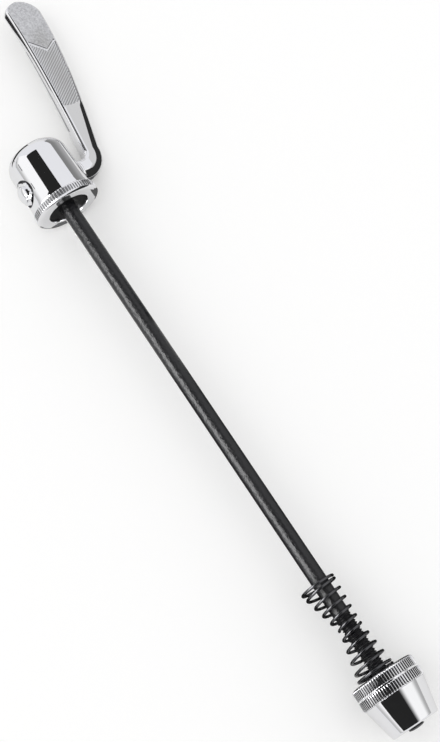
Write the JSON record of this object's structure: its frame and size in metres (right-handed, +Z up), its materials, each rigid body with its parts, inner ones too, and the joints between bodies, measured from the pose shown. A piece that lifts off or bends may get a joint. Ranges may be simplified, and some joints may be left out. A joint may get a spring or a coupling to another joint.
{
  "type": "quick release skewer",
  "caption": "Bicycle wheel skewer: a cam lever in a domed housing draws a black rod that carries conical springs and a tapered, knurled adjusting nut.",
  "frame": {"origin": "on the rod's axis, in the plane of the cam housing's clamp face", "axes": "+X along the rod from the housing to the nut, +Z up as it lies, +Y the lever's side"},
  "size_m": [0.2514, 0.0385, 0.0213],
  "materials": {
    "polished_chrome": "polished",
    "black_rod": "satin black oxide",
    "black_spring": "glossy black",
    "black_nylon": "moulded",
    "white_nylon": "moulded"
  },
  "bodies": {
    "housing": {"cam_housing": "polished_chrome", "housing_clamp_ring": "polished_chrome", "rod_guide_bush": "black_nylon"},
    "lever": {"lever": "polished_chrome", "lever_washer": "polished_chrome", "cap_nut": "polished_chrome"},
    "rod": {"skewer_rod": "black_rod"},
    "nut_spring": {"nut_side_spring": "black_spring"},
    "lever_spring": {"lever_side_spring": "black_spring"},
    "nut": {"adjusting_nut": "polished_chrome", "nut_clamp_ring": "polished_chrome", "nut_lock_insert": "white_nylon"}
  },
  "joints": [
    {"name": "lever_swing", "type": "hinge", "parent": "housing", "child": "lever", "pos_m": [-0.0096, 0, 0], "axis": [0, -0.9008, 0.4343], "range_deg": [-90, 90]},
    {"name": "rod_draw", "type": "slide", "parent": "housing", "child": "rod", "axis": [1, 0, 0], "range_m": [-0.00114, 0.00114]},
    {"name": "nut_advance", "type": "slide", "parent": "rod", "child": "nut_spring", "axis": [-1, 0, 0], "range_m": [0, 0.008]},
    {"name": "nut_turn", "type": "hinge", "parent": "nut_spring", "child": "nut", "pos_m": [0.165, 0, 0], "axis": [-1, 0, 0], "range_deg": [0, 3600]},
    {"name": "lever_spring_slide", "type": "slide", "parent": "nut_spring", "child": "lever_spring", "axis": [-1, 0, 0], "range_m": [0, 0.12]}
  ],
  "couplings": [
    {"joint": "rod_draw", "follows": "lever_swing", "m_per_rad": -0.0007246},
    {"joint": "nut_advance", "follows": "nut_turn", "m_per_rad": 0.00012732}
  ]
}
